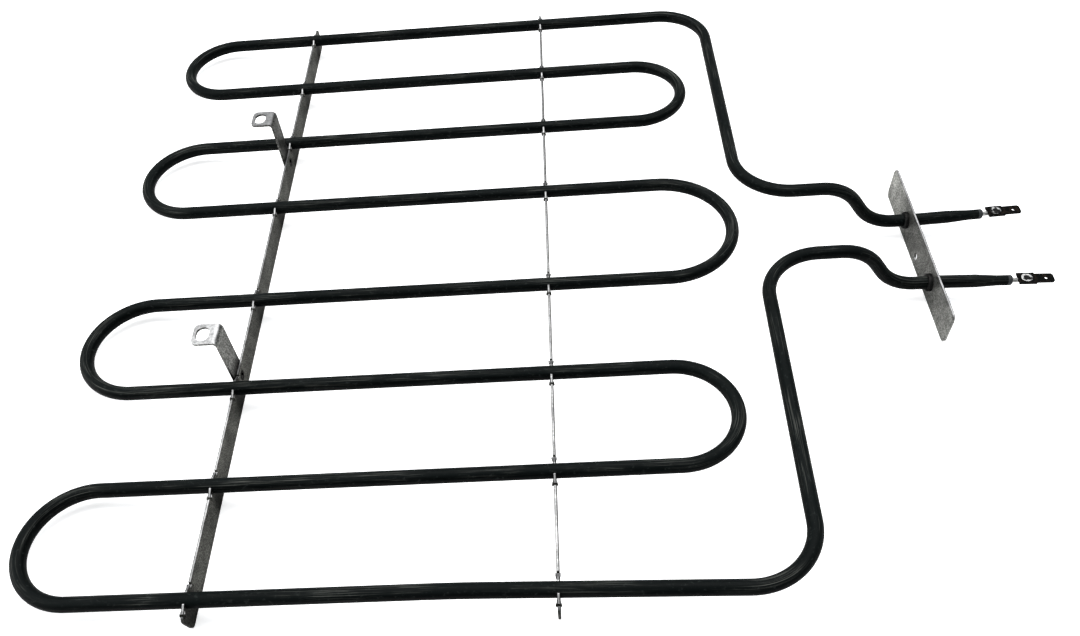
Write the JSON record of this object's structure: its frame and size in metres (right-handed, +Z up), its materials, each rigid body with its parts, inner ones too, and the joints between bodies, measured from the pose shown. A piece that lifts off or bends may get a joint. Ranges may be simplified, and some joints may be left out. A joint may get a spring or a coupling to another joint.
{
  "type": "oven heating element",
  "caption": "Tubular electric heating element bent into a flat serpentine, on two notched support strips, with hanger brackets, wall plate and spade terminals.",
  "frame": {"origin": "centre of the wall plate's outer face, the face that meets the wall", "axes": "+X points through the wall, along the leads; +Z up, square to the level serpentine; +Y completes a right-handed frame, along the support strips"},
  "size_m": [0.5127, 0.4472, 0.0655],
  "materials": {
    "sheath": "black green-grey oxide, with fine lengthwise scratches",
    "resistance_wire": "drawn wire",
    "powder": "packed white powder",
    "pin_steel": "dull grey steel",
    "seal": "dark grey, matt",
    "terminal_steel": "dark oxide with brown edges",
    "weld_metal": "dark, with a bright rim",
    "plate_steel": "warm grey, grained and lightly marked",
    "ferrule_steel": "dark oxide",
    "strip_steel": "warm grey mottled steel with a bright cut edge",
    "bracket_steel": "light grey, with a bright tab"
  },
  "bodies": {
    "root": {"end_seal_far": "seal", "end_seal_near": "seal", "front_support_strip": "strip_steel", "hanger_bracket_far": "bracket_steel", "hanger_bracket_near": "bracket_steel", "heating_coil": "resistance_wire", "insulation_core": "powder", "insulation_powder": "powder", "middle_support_strip": "strip_steel", "plate_ferrule_far": "ferrule_steel", "plate_ferrule_near": "ferrule_steel", "sheath_tube": "sheath", "spade_terminal_far": "terminal_steel", "spade_terminal_near": "terminal_steel", "terminal_pin_far": "pin_steel", "terminal_pin_near": "pin_steel", "terminal_weld_far": "weld_metal", "terminal_weld_near": "weld_metal", "wall_plate": "plate_steel"}
  },
  "joints": []
}
